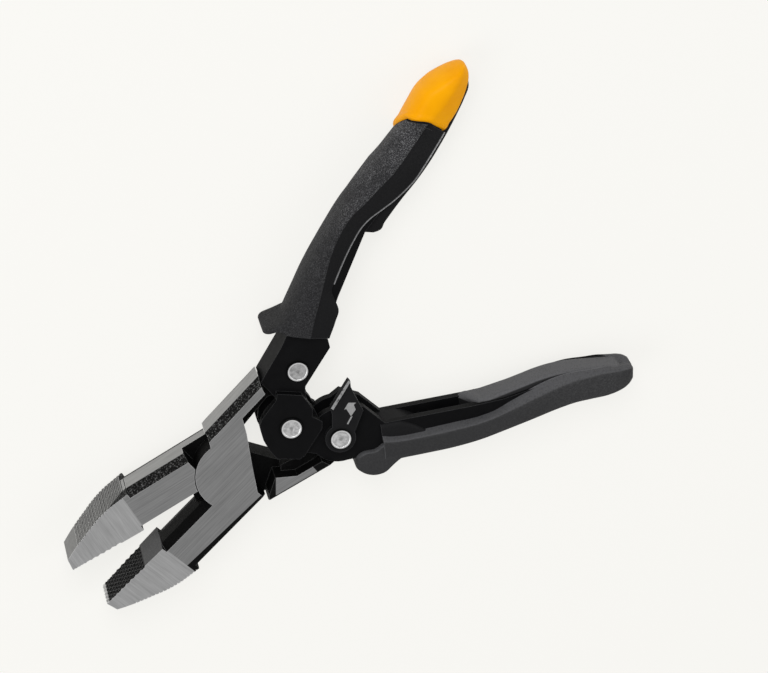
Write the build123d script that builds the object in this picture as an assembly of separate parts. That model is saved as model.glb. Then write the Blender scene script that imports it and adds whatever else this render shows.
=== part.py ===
from build123d import *
from math import atan2, cos, degrees, pi, radians, sin, sqrt

# Compound-leverage combination pliers with a lock lever, lying open on one broad side.
# Frame: the origin is on the jaw pivot axis, at the table face of its rivet head. +Z is up
# out of the table, +X points from the jaws to the handles, +Y is the longer handle's side.

# Overall thickness, and the layers measured outwards from the middle plane
MIDDLE = 10.6
HEAD_HALF = 9.0
WEB_HALF = 3.5
LAYER_GAP = 0.1
EAR_WALL = 3.0
RAISED_WALL = 2.7
LEVER_WALL = 1.9
HEAD_RISE = 1.0
LEVER_HEAD_RISE = 0.9
OVERRUN = 2.0
QUARTER_TURN = 90.0
FULL_TURN = 360.0
RUN_CLEARANCE = 0.05
FIT_GAP = 0.4

# Places of the pivots in the plane of the pliers, from the jaw pivot
JAW_PIN = (0, 0)
UPPER_PIN = (44.8, 16.9)
MAIN_PIN = (28.5, 1.0)
LOWER_PIN = (39.7, -15.5)

# Pivot sizes
JAW_SHANK_R = 5.0
JAW_HEAD_R = 7.2
LINK_SHANK_R = 3.0
LINK_HEAD_R = 4.2
MAIN_SHANK_R = 3.4
MAIN_HEAD_R = 4.5
OPEN_PIVOT_PLAY = 0.45
WASHER_WALL = 0.9
WASHER_R = 5.2
HEAD_EDGE = 0.4
TAIL_GAP = 0.5

# Jaws, drawn with the gripping plane on the X axis and the outer side of the jaw in +Y
OPEN_HALF_ANGLE = 7.7
JAW_REACH = 72.7
JAW_DEPTH = 17.1
TIP_DEPTH = 5.3
TIP_SET = 0.7
GRIP_REAR = 42.5
TOOTH_REAR = 51.0
NOSE_REAR = 40.3
NOSE_TIP_HALF = 7.3
CUTTER_FRONT = 41.0
CUTTER_SETBACK = 0.15
CUTTER_BEVEL = 2.3
CUTTER_LIFT = 3.0
TIP_GAP = 0.12
HUB_R = 15.2
SHOULDER_R = 20.9
CLEAR_SHARE = 0.64
FORGED_SET = 2.1
LAND_HALF = 4.0
NOSE_SHOULDER = 38.0
NOSE_SHARES = ((0.895, 0.525), (0.80, 0.70), (0.72, 0.84), (0.64, 0.93), (0.52, 1.0))
SHOULDER_SHARES = ((-0.67, 0.38), (-0.89, 0.06), (-0.98, -0.18), (-0.67, -0.43))
TOOTH_PITCH = 1.9
TOOTH_DEPTH = 0.5
RIB_PITCH = 1.5
RIB_DEPTH = 0.4
RIB_COUNT = 19

# Jaw plate and tail, in the open position, as shares of the tail length
TAIL_LENGTH = 48.0
PLATE_SHARES = ((-0.292, -0.30), (0.0, -0.309), (0.194, 0.042), (0.298, 0.219), (0.36, 0.352),
                (0.1, 0.378), (0.031, 0.365), (0.0, 0.30))
TAIL_RIB_SHARES = ((0.035, 0.409), (0.70, 0.515), (0.70, 0.405), (0.36, 0.352), (0.219, 0.244), (0.09, 0.33))
TAIL_WEB_SHARES = ((0.30, 0.24), (0.60, 0.31), (0.615, 0.385), (0.22, 0.35))
TAIL_EYE_R = 6.9
EYE_SIDE_ANGLES = (-112.0, 138.0)
NECK_ARC_R = 14.4
LOBE_R = 11.4

# Handles, drawn from the main pivot along their own lines, with the inner side in +Y
UPPER_ANGLE = 30.0
LOWER_ANGLE = -31.0
UPPER_REACH = 155.0
LOWER_REACH = 134.0
NECK_REACH = 38.0
CHANNEL_WALL = 3.0
GRIP_DEPTH = 20.0
RAISED_R = 12.3
INNER_EAR_R = 10.9
FOLD_WALL = 2.7
RAISED_SHARES = ((77, 1.09), (92, 0.985), (120, 0.985), (133, 1.0), (146, 0.945), (164, 0.94), (171, 0.94),
                 (189, 1.0), (209, 1.13), (231, 1.08), (245, 1.14), (255, 1.08), (270, 0.935), (315, 0.97),
                 (330, 0.98), (349, 0.74), (363, 0.895), (380, 1.0))
UPPER_NECK_SHARES = ((0.243, -0.5), (0.318, 0.1), (0.395, 0.01), (0.447, -0.015), (0.918, 0.135), (0.995, 0.035))
UPPER_NECK_OUTER_SHARES = ((0.763, -0.76), (0.354, -0.865))
UPPER_INNER_SHARES = ((0.0, -0.05), (0.15, -0.11), (0.388, -0.115), (0.53, 0.1), (0.675, 0.35), (0.744, 0.425))
UPPER_OUTER_SHARES = ((0.744, 0.025), (0.675, -0.115), (0.504, -0.4), (0.333, -0.62), (0.188, -0.7))
LOWER_NECK_SHARES = ((-0.08, -0.5), (0.284, -0.02), (0.416, -0.085), (0.46, 0.145), (0.568, 0.275), (0.763, 0.075),
                     (0.866, -0.16), (0.95, -0.35))
LOWER_NECK_OUTER_SHARES = ((0.79, -0.97), (0.474, -0.985), (0.226, -0.73))
LOWER_INNER_SHARES = ((0.0, -0.35), (0.333, -0.35), (0.469, -0.325), (0.594, -0.225), (0.771, -0.175))
LOWER_OUTER_SHARES = ((0.771, -0.49), (0.625, -0.625), (0.417, -0.885), (0.302, -0.96), (0.02, -0.97))
UPPER_WALL_START = 10.0
LOWER_WALL_START = 21.5

# Grips: share along the grip, outer and inner side as shares of its depth, and share of its thickness
GRIP_HALF = 10.4
GRIP_CORNER = 6.5
GRIP_SLOPE = 4.2
GRIP_DROP = 3.2
CORNER_SHARE = 0.38
SLOPE_SHARE = 0.3
UPPER_GRIP_SHARES = ((-0.017, -0.875, 0.06, 0.94), (0.08, -0.90, 0.02, 1.0), (0.24, -0.87, 0.0, 1.0),
                     (0.38, -0.74, -0.01, 1.0), (0.487, -0.60, 0.07, 1.0), (0.573, -0.465, 0.23, 1.0),
                     (0.684, -0.275, 0.41, 1.0), (0.786, -0.15, 0.51, 1.0), (0.915, 0.06, 0.58, 0.96),
                     (0.975, 0.27, 0.60, 0.86), (1.0, 0.42, 0.585, 0.66))
LOWER_GRIP_SHARES = ((-0.04, -1.13, -0.36, 0.94), (0.05, -1.13, -0.34, 1.0), (0.302, -1.15, -0.36, 1.0),
                     (0.417, -1.065, -0.42, 1.0), (0.521, -0.935, -0.28, 1.0), (0.625, -0.805, -0.1, 1.0),
                     (0.73, -0.68, -0.05, 1.0), (0.854, -0.665, -0.06, 1.0), (0.938, -0.6, -0.1, 0.95),
                     (0.979, -0.5, -0.15, 0.85), (1.0, -0.4, -0.2, 0.66))
UPPER_WINDOW_SHARES = ((0.085, -0.29), (0.395, -0.265), (0.44, -0.19), (0.44, 0.5), (0.085, 0.5))
LOWER_WINDOW_SHARES = ((0.08, -0.66), (0.305, -0.65), (0.365, -0.6), (0.40, -0.38), (0.40, 0.3), (0.08, 0.3))
UPPER_LINER_SHARES = ((0.385, -0.15), (0.385, 0.075), (0.41, 0.16), (0.54, 0.32), (0.67, 0.50), (0.77, 0.58),
                      (0.85, 0.655), (0.93, 0.64), (0.93, 0.4), (0.67, 0.1), (0.5, -0.1))
LOWER_LINER_SHARES = ((0.29, -0.62), (0.29, -0.38), (0.333, -0.25), (0.464, -0.13), (0.58, -0.035), (0.70, 0.0),
                      (0.82, -0.04), (0.93, -0.10), (0.93, -0.3), (0.6, -0.4), (0.4, -0.62))
LINER_HALF = 5.2
UPPER_GUARD_SHARES = ((0.01, -0.6), (-0.035, -1.02), (-0.056, -1.175), (-0.045, -1.295), (-0.017, -1.32),
                      (0.013, -1.24), (0.038, -1.05), (0.078, -0.88), (0.06, -0.5))
LOWER_GUARD_SHARES = ((-0.06, -0.85), (-0.155, -1.03), (-0.165, -1.12), (-0.128, -1.26), (-0.07, -1.345),
                      (-0.03, -1.26), (0.01, -1.15), (0.06, -0.9))
GUARD_HALF = 8.6
GUARD_EDGE = 1.2
UPPER_RIDGE_SHARES = ((-0.2, -0.72), (0.205, -0.715), (0.3, -0.68), (0.393, -0.605), (0.479, -0.485),
                      (0.556, -0.28), (0.684, -0.035), (0.812, 0.125))
LOWER_RIDGE_SHARES = ((-0.3, -0.76), (0.083, -0.74), (0.26, -0.715), (0.427, -0.59), (0.583, -0.35),
                      (0.74, -0.18), (0.917, -0.135), (1.1, -0.1))
END_LINE_SHARES = ((0.775, -0.5), (0.80, -0.1), (0.815, 0.1), (0.797, 0.5), (0.79, 0.9))

# Lock lever on the lower link pivot, as shares of its own length, before it is locked
LEVER_LENGTH = 24.0
LEVER_EYE_R = 5.9
LEVER_SHARES = ((0.03, 0.26), (0.16, 0.42), (0.205, 0.53), (0.235, 0.545), (0.74, 0.69), (0.68, 0.60), (0.64, 0.44),
                (0.575, 0.146), (0.18, -0.10))
TAB_SHARES = ((0.235, 0.50), (0.74, 0.70), (0.735, 0.745), (0.225, 0.55))

# Return spring round the main pivot, and the pins that hold its ends
SPRING_WIRE_R = 0.75
SPRING_COIL_R = 6.1
SPRING_RISE = 4.8
BUSH_R = 4.9
SPRING_PIN_R = 1.1
UPPER_SPRING_PIN = (38.6, 8.4)
LOWER_SPRING_PIN = (47.8, -7.3)
SPRING_HOOK_TURN = 150.0
SPRING_STEPS = 10
SPRING_LEAST_TURN = 540.0

EAR_LOW = WEB_HALF + LAYER_GAP
EAR_HIGH = EAR_LOW + EAR_WALL
RAISED_LOW = EAR_HIGH + LAYER_GAP
RAISED_HIGH = RAISED_LOW + RAISED_WALL
LEVER_LOW = RAISED_LOW + WASHER_WALL + LAYER_GAP
LEVER_HIGH = LEVER_LOW + LEVER_WALL


def scaled(shares, length, depth, start=0.0):
    return [(start + along * length, across * depth) for along, across in shares]


def flipped(points, side):
    return [(x, side * y) for x, y in points]


def prism(outline, low, high):
    face = make_face(Polyline(*outline, close=True))
    return extrude(Pos(0, 0, MIDDLE + low) * face, high - low, dir=(0, 0, 1))


def disc(centre, radius, low, high):
    return Pos(centre[0], centre[1], MIDDLE + (low + high) / 2) * Cylinder(radius, high - low)


def around(centre, radius, angle):
    return (centre[0] + radius * cos(radians(angle)), centre[1] + radius * sin(radians(angle)))


def mirrored_pair(shape):
    """The shape and its mirror image behind the middle plane."""
    return shape + mirror(shape, about=Plane.XY.offset(MIDDLE))


def write(shape, node):
    export_step(shape, f"parts/{node}.step")


# Jaws

def outer_side():
    """The points of a jaw's outer side, from its tip to the pivot."""
    return [(-along * JAW_REACH, across * JAW_DEPTH) for along, across in NOSE_SHARES] + [(0, JAW_DEPTH)]


def nose_block():
    """Nose and cheek of a jaw at full thickness, with its gripping and cutting edges."""
    tip = (-JAW_REACH, TIP_GAP)
    outer = outer_side()
    corner = (-JAW_REACH + TIP_SET, TIP_DEPTH)
    bottom = Polyline((0, JAW_DEPTH), (0, 0), (-HUB_R / 2, CUTTER_SETBACK), (-CUTTER_FRONT, CUTTER_SETBACK),
                      (-GRIP_REAR, TIP_GAP), tip, corner)
    nose = ThreePointArc(corner, outer[0], outer[1])
    rise = ThreePointArc(outer[1], outer[2], outer[3])
    back = Polyline(*outer[3:])
    face = make_face(bottom + nose + rise + back)
    block = extrude(Pos(0, 0, MIDDLE - HEAD_HALF) * face, 2 * HEAD_HALF, dir=(0, 0, 1))
    return block - forged_bevels((-NOSE_SHOULDER, JAW_DEPTH), (OVERRUN, JAW_DEPTH))


def side_cut(profile, low, high):
    """A bar along Y whose section in X and offset from the middle plane is given."""
    face = make_face(Polyline(*[(x, low, MIDDLE + z) for x, z in profile], close=True))
    return extrude(face, high - low, dir=(0, 1, 0))


def length_cut(profile, start, finish):
    """A bar along X whose section in Y and offset from the middle plane is given."""
    face = make_face(Polyline(*[(start, y, MIDDLE + z) for y, z in profile], close=True))
    return extrude(face, finish - start, dir=(1, 0, 0))


def forged_bevels(start, end):
    """What slopes the two long edges of an outer side down to its ground land, which lies to the left of start to end."""
    far = HEAD_HALF + OVERRUN
    length = (Vector(*end) - Vector(*start)).length
    angle = degrees(atan2(end[1] - start[1], end[0] - start[0]))
    bars = []
    for face in (1, -1):
        profile = [(-FORGED_SET, face * HEAD_HALF), (0, face * LAND_HALF), (OVERRUN, face * LAND_HALF),
                   (OVERRUN, face * far), (-FORGED_SET, face * far)]
        bars.append(Pos(start[0], start[1], 0) * Rot(0, 0, angle) * length_cut(profile, 0, length))
    return bars


def nose_cuts():
    """What tapers the nose towards its tip and bevels the cutting edge, on both faces."""
    far = HEAD_HALF + OVERRUN
    cuts = []
    for face in (1, -1):
        taper = [(-NOSE_REAR, face * HEAD_HALF), (-JAW_REACH, face * NOSE_TIP_HALF),
                 (-JAW_REACH - OVERRUN, face * NOSE_TIP_HALF), (-JAW_REACH - OVERRUN, face * far),
                 (-NOSE_REAR, face * far)]
        cuts.append(side_cut(taper, -OVERRUN, JAW_DEPTH + OVERRUN))
        lift = CUTTER_LIFT * face if face > 0 else -HEAD_HALF / 2
        bevel = [(-OVERRUN, lift), (CUTTER_SETBACK, lift), (CUTTER_BEVEL, face * HEAD_HALF),
                 (CUTTER_BEVEL, face * far), (-OVERRUN, face * far)]
        cuts.append(length_cut(bevel, -CUTTER_FRONT, -HUB_R / 2))
    return cuts


def toothed(block):
    """The nose with two crossed rows of V grooves, which leave pointed teeth on its gripping face."""
    half = TOOTH_PITCH / 2
    groove = make_face(Polyline((-2 * half, -TOOTH_DEPTH), (2 * half, -TOOTH_DEPTH), (0, TOOTH_DEPTH), close=True))
    bar = extrude(groove, 2 * HEAD_HALF, both=True)
    step = TOOTH_PITCH * sqrt(2)
    span = JAW_REACH - TOOTH_REAR
    count = int((span + 2 * HEAD_HALF) / step) + 1
    bars = [Pos(-JAW_REACH - HEAD_HALF + index * step, TIP_GAP, MIDDLE) * Rot(0, turn, 0) * bar
            for index in range(count) for turn in (QUARTER_TURN / 2, -QUARTER_TURN / 2)]
    zone = Pos(-JAW_REACH + (span - OVERRUN) / 2, 0, MIDDLE) * Box(span + OVERRUN, JAW_DEPTH, 4 * HEAD_HALF)
    return (block - zone) + ((block & zone) - bars)


def nose_ribs():
    """V grooves across the outer side of the nose, square to it."""
    half = RIB_PITCH / 2
    groove = prism([(-half, OVERRUN / 2), (0, -RIB_DEPTH), (half, OVERRUN / 2)], -HEAD_HALF - OVERRUN,
                   HEAD_HALF + OVERRUN)
    side = outer_side()
    cuts = []
    for index in range(RIB_COUNT):
        x = side[0][0] + index * RIB_PITCH
        run = [pair for pair in zip(side, side[1:]) if pair[0][0] <= x][-1]
        (x0, y0), (x1, y1) = run
        slope = (y1 - y0) / (x1 - x0)
        cuts.append(Pos(x, y0 + slope * (x - x0), 0) * Rot(0, 0, degrees(atan2(slope, 1))) * groove)
    return cuts


def jaw(pin, own_bore, relief_r, end_r, eye_bore, shoulder):
    """A jaw with its nose towards +Y and its half of the pivot lap at the back."""
    split = -LAYER_GAP / 2
    far = HEAD_HALF + OVERRUN
    nose = toothed(nose_block() - nose_ribs() - nose_cuts())
    nose = Rot(0, 0, -OPEN_HALF_ANGLE) * nose
    nose -= disc(JAW_PIN, relief_r, split, far)
    nose -= prism(((-HUB_R * CLEAR_SHARE, -far), (far, -far), (far, 2 * JAW_DEPTH),
                   (-HUB_R * CLEAR_SHARE, 2 * JAW_DEPTH)), split, far)
    plate = prism(flipped(scaled(PLATE_SHARES, TAIL_LENGTH, TAIL_LENGTH), -1), -HEAD_HALF, split)
    edge = scaled(PLATE_SHARES[1:5], TAIL_LENGTH, TAIL_LENGTH)
    beyond = edge + [(TAIL_LENGTH, edge[-1][1]), (TAIL_LENGTH, -TAIL_LENGTH), (0, -TAIL_LENGTH)]
    plate += disc(JAW_PIN, HUB_R, -HEAD_HALF, split) - prism(flipped(beyond, -1), -far, far)
    rib_line = flipped(scaled(TAIL_RIB_SHARES, TAIL_LENGTH, TAIL_LENGTH), -1)
    rib = prism(rib_line, -HEAD_HALF, HEAD_HALF) - forged_bevels(rib_line[1], rib_line[0])
    rib -= disc(pin, end_r, -far, far)
    start, low, high, top = scaled(TAIL_WEB_SHARES, TAIL_LENGTH, TAIL_LENGTH)
    eye_low, eye_high = [(pin[0] + TAIL_EYE_R * cos(radians(angle)), TAIL_EYE_R * sin(radians(angle)) - pin[1])
                         for angle in EYE_SIDE_ANGLES]
    web = prism(flipped((start, low, eye_low, eye_high, high, top), -1), -WEB_HALF, WEB_HALF)
    web += disc(pin, TAIL_EYE_R, -WEB_HALF, WEB_HALF)
    body = nose + plate + rib + web
    if shoulder:
        body += prism(scaled(SHOULDER_SHARES, SHOULDER_R, SHOULDER_R), -HEAD_HALF, split)
    body -= disc(JAW_PIN, own_bore, -far, far)
    return body - disc(pin, eye_bore, -far, far)


def turned_over(shape):
    """The shape turned half a turn about the long axis of the pliers."""
    return Pos(0, 0, MIDDLE) * Rot(180, 0, 0) * Pos(0, 0, -MIDDLE) * shape


def make_lower_jaw():
    pin = (UPPER_PIN[0], -UPPER_PIN[1])
    return turned_over(jaw(pin, JAW_SHANK_R, SHOULDER_R + FIT_GAP, NECK_ARC_R + TAIL_GAP,
                           LINK_SHANK_R + RUN_CLEARANCE, False))


def make_upper_jaw():
    return jaw(LOWER_PIN, JAW_SHANK_R + RUN_CLEARANCE, HUB_R + FIT_GAP, LOBE_R + TAIL_GAP, LINK_SHANK_R, True)


# Rivets, washers and the spring bush

def rivet(centre, shank, head, low, high, back_rise, front_rise):
    """A shank between two broad heads with softened rims."""
    body = disc(centre, shank, low, high)
    for start, rise, way in ((low, back_rise, -1), (high, front_rise, 1)):
        cap = disc(centre, head, min(start, start + way * rise), max(start, start + way * rise))
        rim = [edge for edge in cap.edges() if abs(edge.center().Z - MIDDLE - start - way * rise) < LAYER_GAP / 2]
        body += fillet(rim, HEAD_EDGE)
    return body


def ring(centre, outer, bore, low, high):
    return disc(centre, outer, low, high) - disc(centre, bore, low - OVERRUN, high + OVERRUN)


def make_jaw_rivet():
    head = disc(JAW_PIN, JAW_HEAD_R, -MIDDLE, -HEAD_HALF)
    rim = head.edges().sort_by(Axis.Z)[0]
    return fillet(rim, HEAD_EDGE) + disc(JAW_PIN, JAW_SHANK_R, -HEAD_HALF, HEAD_HALF)


# Handles

def placed(shape, angle):
    return Pos(MAIN_PIN[0], MAIN_PIN[1], 0) * Rot(0, 0, angle) * shape


def along_grip(shares, reach):
    return scaled(shares, reach - NECK_REACH, GRIP_DEPTH, NECK_REACH)


def channel_outline(neck, inner, outer, neck_outer, reach):
    return (scaled(neck, NECK_REACH, GRIP_DEPTH) + along_grip(inner, reach) + along_grip(outer, reach)
            + scaled(neck_outer, NECK_REACH, GRIP_DEPTH))


def channel_hollow(outer, neck_outer, reach, wall_start):
    """The space inside the channel: open on the inner side and from wall_start to the jaws."""
    line = along_grip(outer, reach) + scaled(neck_outer, NECK_REACH, GRIP_DEPTH)
    line = [(x, y + CHANNEL_WALL) for x, y in line]
    line[0] = (line[0][0] - CHANNEL_WALL, line[0][1])
    line = [point for point in line if point[0] > wall_start]
    far = 3 * GRIP_DEPTH
    return [(line[0][0], far)] + line + [(wall_start, line[-1][1]), (wall_start, -far), (-far, -far), (-far, far)]


def make_upper_channel():
    outline = channel_outline(UPPER_NECK_SHARES, UPPER_INNER_SHARES, UPPER_OUTER_SHARES, UPPER_NECK_OUTER_SHARES,
                              UPPER_REACH)
    hollow = channel_hollow(UPPER_OUTER_SHARES, UPPER_NECK_OUTER_SHARES, UPPER_REACH, UPPER_WALL_START)
    body = prism(flipped(outline, -1), -EAR_HIGH, EAR_HIGH) - prism(flipped(hollow, -1), -EAR_LOW, EAR_LOW)
    body = placed(body, UPPER_ANGLE)
    body -= disc(MAIN_PIN, RAISED_R, -EAR_LOW, EAR_LOW)
    rim = [around(MAIN_PIN, share * RAISED_R, angle) for angle, share in RAISED_SHARES]
    ear = prism(rim, RAISED_LOW, RAISED_HIGH)
    first, last = Vector(*rim[0]), Vector(*rim[-1])
    along = (last - first).normalized()
    out = along.rotate(Axis.Z, QUARTER_TURN)
    corners = (first, last, last + (out - along) * FOLD_WALL, first + out * FOLD_WALL)
    fold = prism([(corner.X, corner.Y) for corner in corners], EAR_LOW, RAISED_HIGH)
    body += mirrored_pair(ear + fold)
    for pin, bore in ((MAIN_PIN, MAIN_SHANK_R), (UPPER_PIN, LINK_SHANK_R), (UPPER_SPRING_PIN, SPRING_PIN_R)):
        body -= disc(pin, bore, -MIDDLE, MIDDLE if pin != UPPER_SPRING_PIN else EAR_HIGH)
    return body


def make_lower_channel():
    outline = channel_outline(LOWER_NECK_SHARES, LOWER_INNER_SHARES, LOWER_OUTER_SHARES, LOWER_NECK_OUTER_SHARES,
                              LOWER_REACH)
    hollow = channel_hollow(LOWER_OUTER_SHARES, LOWER_NECK_OUTER_SHARES, LOWER_REACH, LOWER_WALL_START)
    body = placed(prism(outline, -EAR_HIGH, EAR_HIGH), LOWER_ANGLE)
    body += disc(MAIN_PIN, INNER_EAR_R, -EAR_HIGH, EAR_HIGH)
    body += disc(LOWER_PIN, LOBE_R, -EAR_HIGH, EAR_HIGH)
    body -= placed(prism(hollow, -EAR_LOW, EAR_LOW), LOWER_ANGLE)
    for pin, bore in ((MAIN_PIN, MAIN_SHANK_R + RUN_CLEARANCE), (LOWER_PIN, LINK_SHANK_R + OPEN_PIVOT_PLAY),
                      (LOWER_SPRING_PIN, SPRING_PIN_R)):
        body -= disc(pin, bore, -MIDDLE, MIDDLE)
    return body


# Grips

def grip_section(along, outer, inner, half, side):
    """Rounded on the outer side, flat on both broad sides, and sloping to the inner edge."""
    depth = inner - outer
    corner = min(GRIP_CORNER, depth * CORNER_SHARE)
    slope = min(GRIP_SLOPE, depth * SLOPE_SHARE)
    bend = corner * (1 - sqrt(0.5))

    def at(y, z):
        return (along, side * y, MIDDLE + z)

    edges = [Line(at(outer, corner - half), at(outer, half - corner)),
             ThreePointArc(at(outer, half - corner), at(outer + bend, half - bend), at(outer + corner, half)),
             Line(at(outer + corner, half), at(inner - slope, half)),
             Line(at(inner - slope, half), at(inner, half - GRIP_DROP)),
             Line(at(inner, half - GRIP_DROP), at(inner, GRIP_DROP - half)),
             Line(at(inner, GRIP_DROP - half), at(inner - slope, -half)),
             Line(at(inner - slope, -half), at(outer + corner, -half)),
             ThreePointArc(at(outer + corner, -half), at(outer + bend, bend - half), at(outer, corner - half))]
    return Face(Wire(edges))


def grip_body(shares, guard_shares, reach, side):
    sections = [grip_section(NECK_REACH + along * (reach - NECK_REACH), outer * GRIP_DEPTH, inner * GRIP_DEPTH,
                             half * GRIP_HALF, side) for along, outer, inner, half in shares]
    guard = prism(flipped(along_grip(guard_shares, reach), side), -GUARD_HALF, GUARD_HALF)
    rims = [edge for edge in guard.edges() if abs(abs(edge.center().Z - MIDDLE) - GUARD_HALF) < LAYER_GAP]
    return loft(sections) + chamfer(rims, GUARD_EDGE)


def make_grip(shares, guard, window, liner, ridge, end_line, channel, outline, reach, side, angle):
    """The pad, the frame behind it, the liner and, with an end line, the end cap of one grip."""
    far = 3 * GRIP_DEPTH
    body = grip_body(shares, guard, reach, side)
    body -= prism(flipped(along_grip(window, reach), side), -far, far)
    body -= prism(flipped(outline, side), -EAR_HIGH, EAR_HIGH)
    plug = prism(flipped(along_grip(liner, reach), side), -LINER_HALF, LINER_HALF)
    body -= plug
    parts = {}
    if end_line:
        line = along_grip(end_line, reach)
        end = prism(flipped(line + [(reach + far, far), (reach + far, -far), (line[0][0], -far)], side), -far, far)
        parts["end_cap"] = placed(body & end, angle)
        body -= end
    line = along_grip(ridge, reach)
    outer_side = prism(flipped(line + [(line[-1][0], -far), (line[0][0], -far)], side), -far, far)
    parts["pad"] = placed(body & outer_side, angle)
    parts["frame"] = placed(body - outer_side, angle)
    parts["liner"] = placed(plug, angle) - channel
    return parts


# Lock lever

def make_lever():
    outline = [(LOWER_PIN[0] + x, LOWER_PIN[1] + y) for x, y in scaled(LEVER_SHARES, LEVER_LENGTH, LEVER_LENGTH)]
    tab = [(LOWER_PIN[0] + x, LOWER_PIN[1] + y) for x, y in scaled(TAB_SHARES, LEVER_LENGTH, LEVER_LENGTH)]
    body = prism(outline, LEVER_LOW, LEVER_HIGH) + disc(LOWER_PIN, LEVER_EYE_R, LEVER_LOW, LEVER_HIGH)
    body += prism(tab, LEVER_LOW, MIDDLE)
    return body - disc(LOWER_PIN, LINK_SHANK_R + OPEN_PIVOT_PLAY, -MIDDLE, MIDDLE)


# Return spring

def biarc(start, start_way, end, end_way):
    """Two arcs that leave start along start_way and reach end along end_way, joined smoothly."""
    chord = end - start
    both = start_way + end_way
    spread = 2 * (1 - start_way.dot(end_way))
    reach = (sqrt(chord.dot(both) ** 2 + spread * chord.dot(chord)) - chord.dot(both)) / spread
    middle = (start + end + (start_way - end_way) * reach) * 0.5
    middle_way = ((end - end_way * reach) - (start + start_way * reach)).normalized()
    return [Edge.make_tangent_arc(start, start_way, middle), Edge.make_tangent_arc(middle, middle_way, end)]


def hook(centre, radius, first, last, height):
    points = [Vector(*around(centre, radius, angle), height) for angle in (first, (first + last) / 2, last)]
    return Edge.make_three_point_arc(*points)


def make_spring():
    """A torsion spring: a hook, a leg, the coil, a leg and a hook, as one wire."""
    grip = SPRING_PIN_R + SPRING_WIRE_R + RUN_CLEARANCE

    def facing(pin, way):
        across, up = pin[0] - MAIN_PIN[0], pin[1] - MAIN_PIN[1]
        lean = degrees(atan2(up, across))
        span = sqrt(across ** 2 + up ** 2)
        return lean + way * degrees(atan2(sqrt(span ** 2 - (SPRING_COIL_R - grip) ** 2), SPRING_COIL_R - grip))

    first = facing(UPPER_SPRING_PIN, 1)
    last = facing(LOWER_SPRING_PIN, -1)
    while last - first < SPRING_LEAST_TURN:
        last += FULL_TURN
    low, high = MIDDLE - SPRING_RISE / 2, MIDDLE + SPRING_RISE / 2
    nodes = []
    for index in range(SPRING_STEPS + 1):
        angle = first + (last - first) * index / SPRING_STEPS
        point = Vector(*around(MAIN_PIN, SPRING_COIL_R, angle), low + (high - low) * index / SPRING_STEPS)
        climb = 0 if index in (0, SPRING_STEPS) else (high - low) / (SPRING_COIL_R * radians(last - first))
        way = Vector(-sin(radians(angle)), cos(radians(angle)), climb).normalized()
        nodes.append((point, way))
    edges = [hook(UPPER_SPRING_PIN, grip, first - SPRING_HOOK_TURN, first, low)]
    edges.append(Edge.make_line(Vector(*around(UPPER_SPRING_PIN, grip, first), low), nodes[0][0]))
    for (point, way), (next_point, next_way) in zip(nodes, nodes[1:]):
        edges += biarc(point, way, next_point, next_way)
    edges.append(Edge.make_line(nodes[-1][0], Vector(*around(LOWER_SPRING_PIN, grip, last), high)))
    edges.append(hook(LOWER_SPRING_PIN, grip, last, last + SPRING_HOOK_TURN, high))
    path = Wire(edges)
    count = int(path.length / SPRING_WIRE_R)
    points = [path @ (step / count) for step in range(count + 1)]
    apart = int(2 * pi)
    least = min((one - other).length for index, one in enumerate(points) for other in points[index + apart:])
    print(f"spring: least gap to itself {least - 2 * SPRING_WIRE_R:.3f} mm, wire length {path.length:.1f} mm")
    return sweep(Plane(origin=path @ 0, z_dir=path % 0) * Circle(SPRING_WIRE_R), path)


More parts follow.
